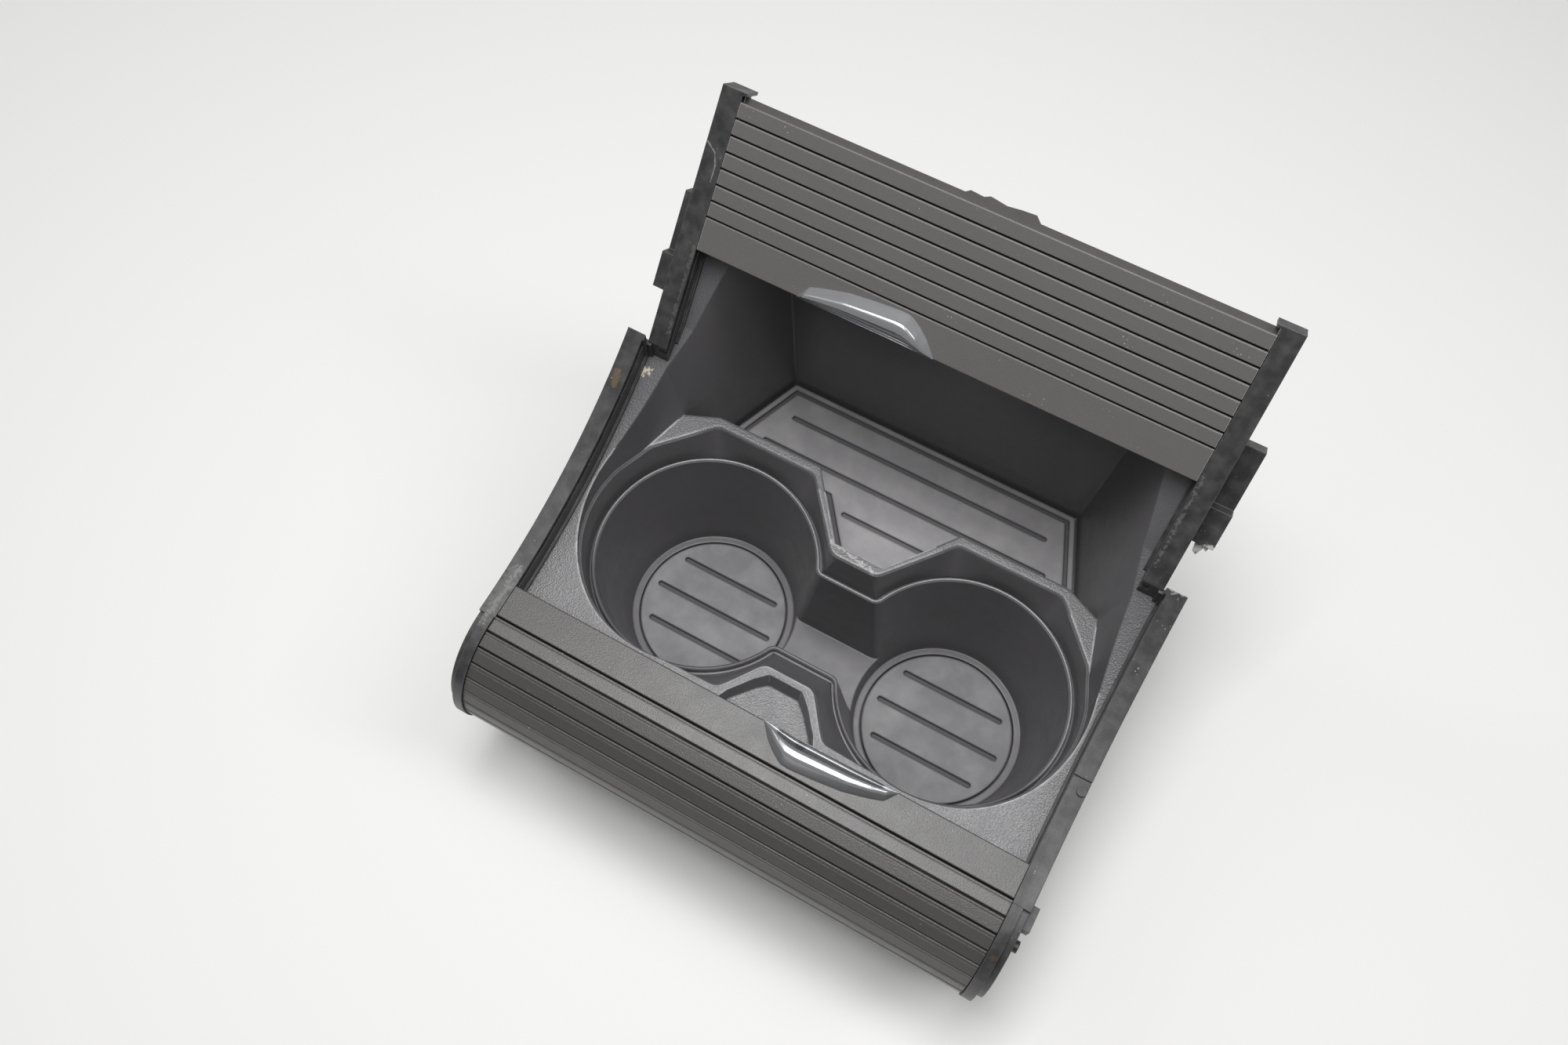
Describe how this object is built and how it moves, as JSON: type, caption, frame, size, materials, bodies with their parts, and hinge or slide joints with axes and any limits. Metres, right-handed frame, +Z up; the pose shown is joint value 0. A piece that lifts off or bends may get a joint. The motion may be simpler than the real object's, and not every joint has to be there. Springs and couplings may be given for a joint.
{
  "type": "car cup holder",
  "caption": "Centre-console cup holder with round cups, a storage bin and slatted shutters that slide on side rails, one over a rounded nose and one on a steep slope.",
  "frame": {"origin": "on the base plane, midway between the two cup axes", "axes": "+X across the unit to the right, +Y from the rounded nose to the raised end, +Z up"},
  "size_m": [0.2012, 0.1903, 0.1751],
  "materials": {
    "tray_plastic": "grained moulding",
    "cup_plastic": "smooth satin moulding",
    "mat_rubber": "matt moulded rubber",
    "rail_plastic": "scuffed moulding",
    "slat_soft_paint": "soft-touch paint",
    "backing_film": "thin dark film",
    "satin_trim": "satin grey paint"
  },
  "bodies": {
    "housing": {"bin_mat": "mat_rubber", "cup_insert": "cup_plastic", "cup_mat_left": "mat_rubber", "cup_mat_right": "mat_rubber", "front_backing_film": "backing_film", "front_rail_left": "rail_plastic", "front_rail_right": "rail_plastic", "front_slat_01": "slat_soft_paint", "front_slat_02": "slat_soft_paint", "front_slat_03": "slat_soft_paint", "front_slat_04": "slat_soft_paint", "front_slat_05": "slat_soft_paint", "front_slat_06": "slat_soft_paint", "front_slat_07": "slat_soft_paint", "front_slat_08": "slat_soft_paint", "front_slat_09": "slat_soft_paint", "front_slat_10": "slat_soft_paint", "front_slat_11": "slat_soft_paint", "front_slat_12": "slat_soft_paint", "front_slat_13": "slat_soft_paint", "front_slat_14": "slat_soft_paint", "rear_rail_left": "rail_plastic", "rear_rail_right": "rail_plastic", "tray": "tray_plastic"},
    "front_shutter": {"front_lead_slat": "slat_soft_paint", "front_handle": "satin_trim"},
    "rear_shutter": {"rear_lead_slat": "slat_soft_paint", "rear_handle": "satin_trim", "rear_backing_film": "backing_film", "rear_slat_01": "slat_soft_paint", "rear_slat_02": "slat_soft_paint", "rear_slat_03": "slat_soft_paint", "rear_slat_04": "slat_soft_paint", "rear_slat_05": "slat_soft_paint", "rear_slat_06": "slat_soft_paint", "rear_slat_07": "slat_soft_paint"}
  },
  "joints": [
    {"name": "front_shutter_travel", "type": "hinge", "parent": "housing", "child": "front_shutter", "pos_m": [0, -0.058, 0.2475], "axis": [1, 0, 0], "range_deg": [0, 29.67]},
    {"name": "rear_shutter_slide", "type": "slide", "parent": "housing", "child": "rear_shutter", "axis": [0, -0.6428, -0.766], "range_m": [0, 0.034]}
  ]
}
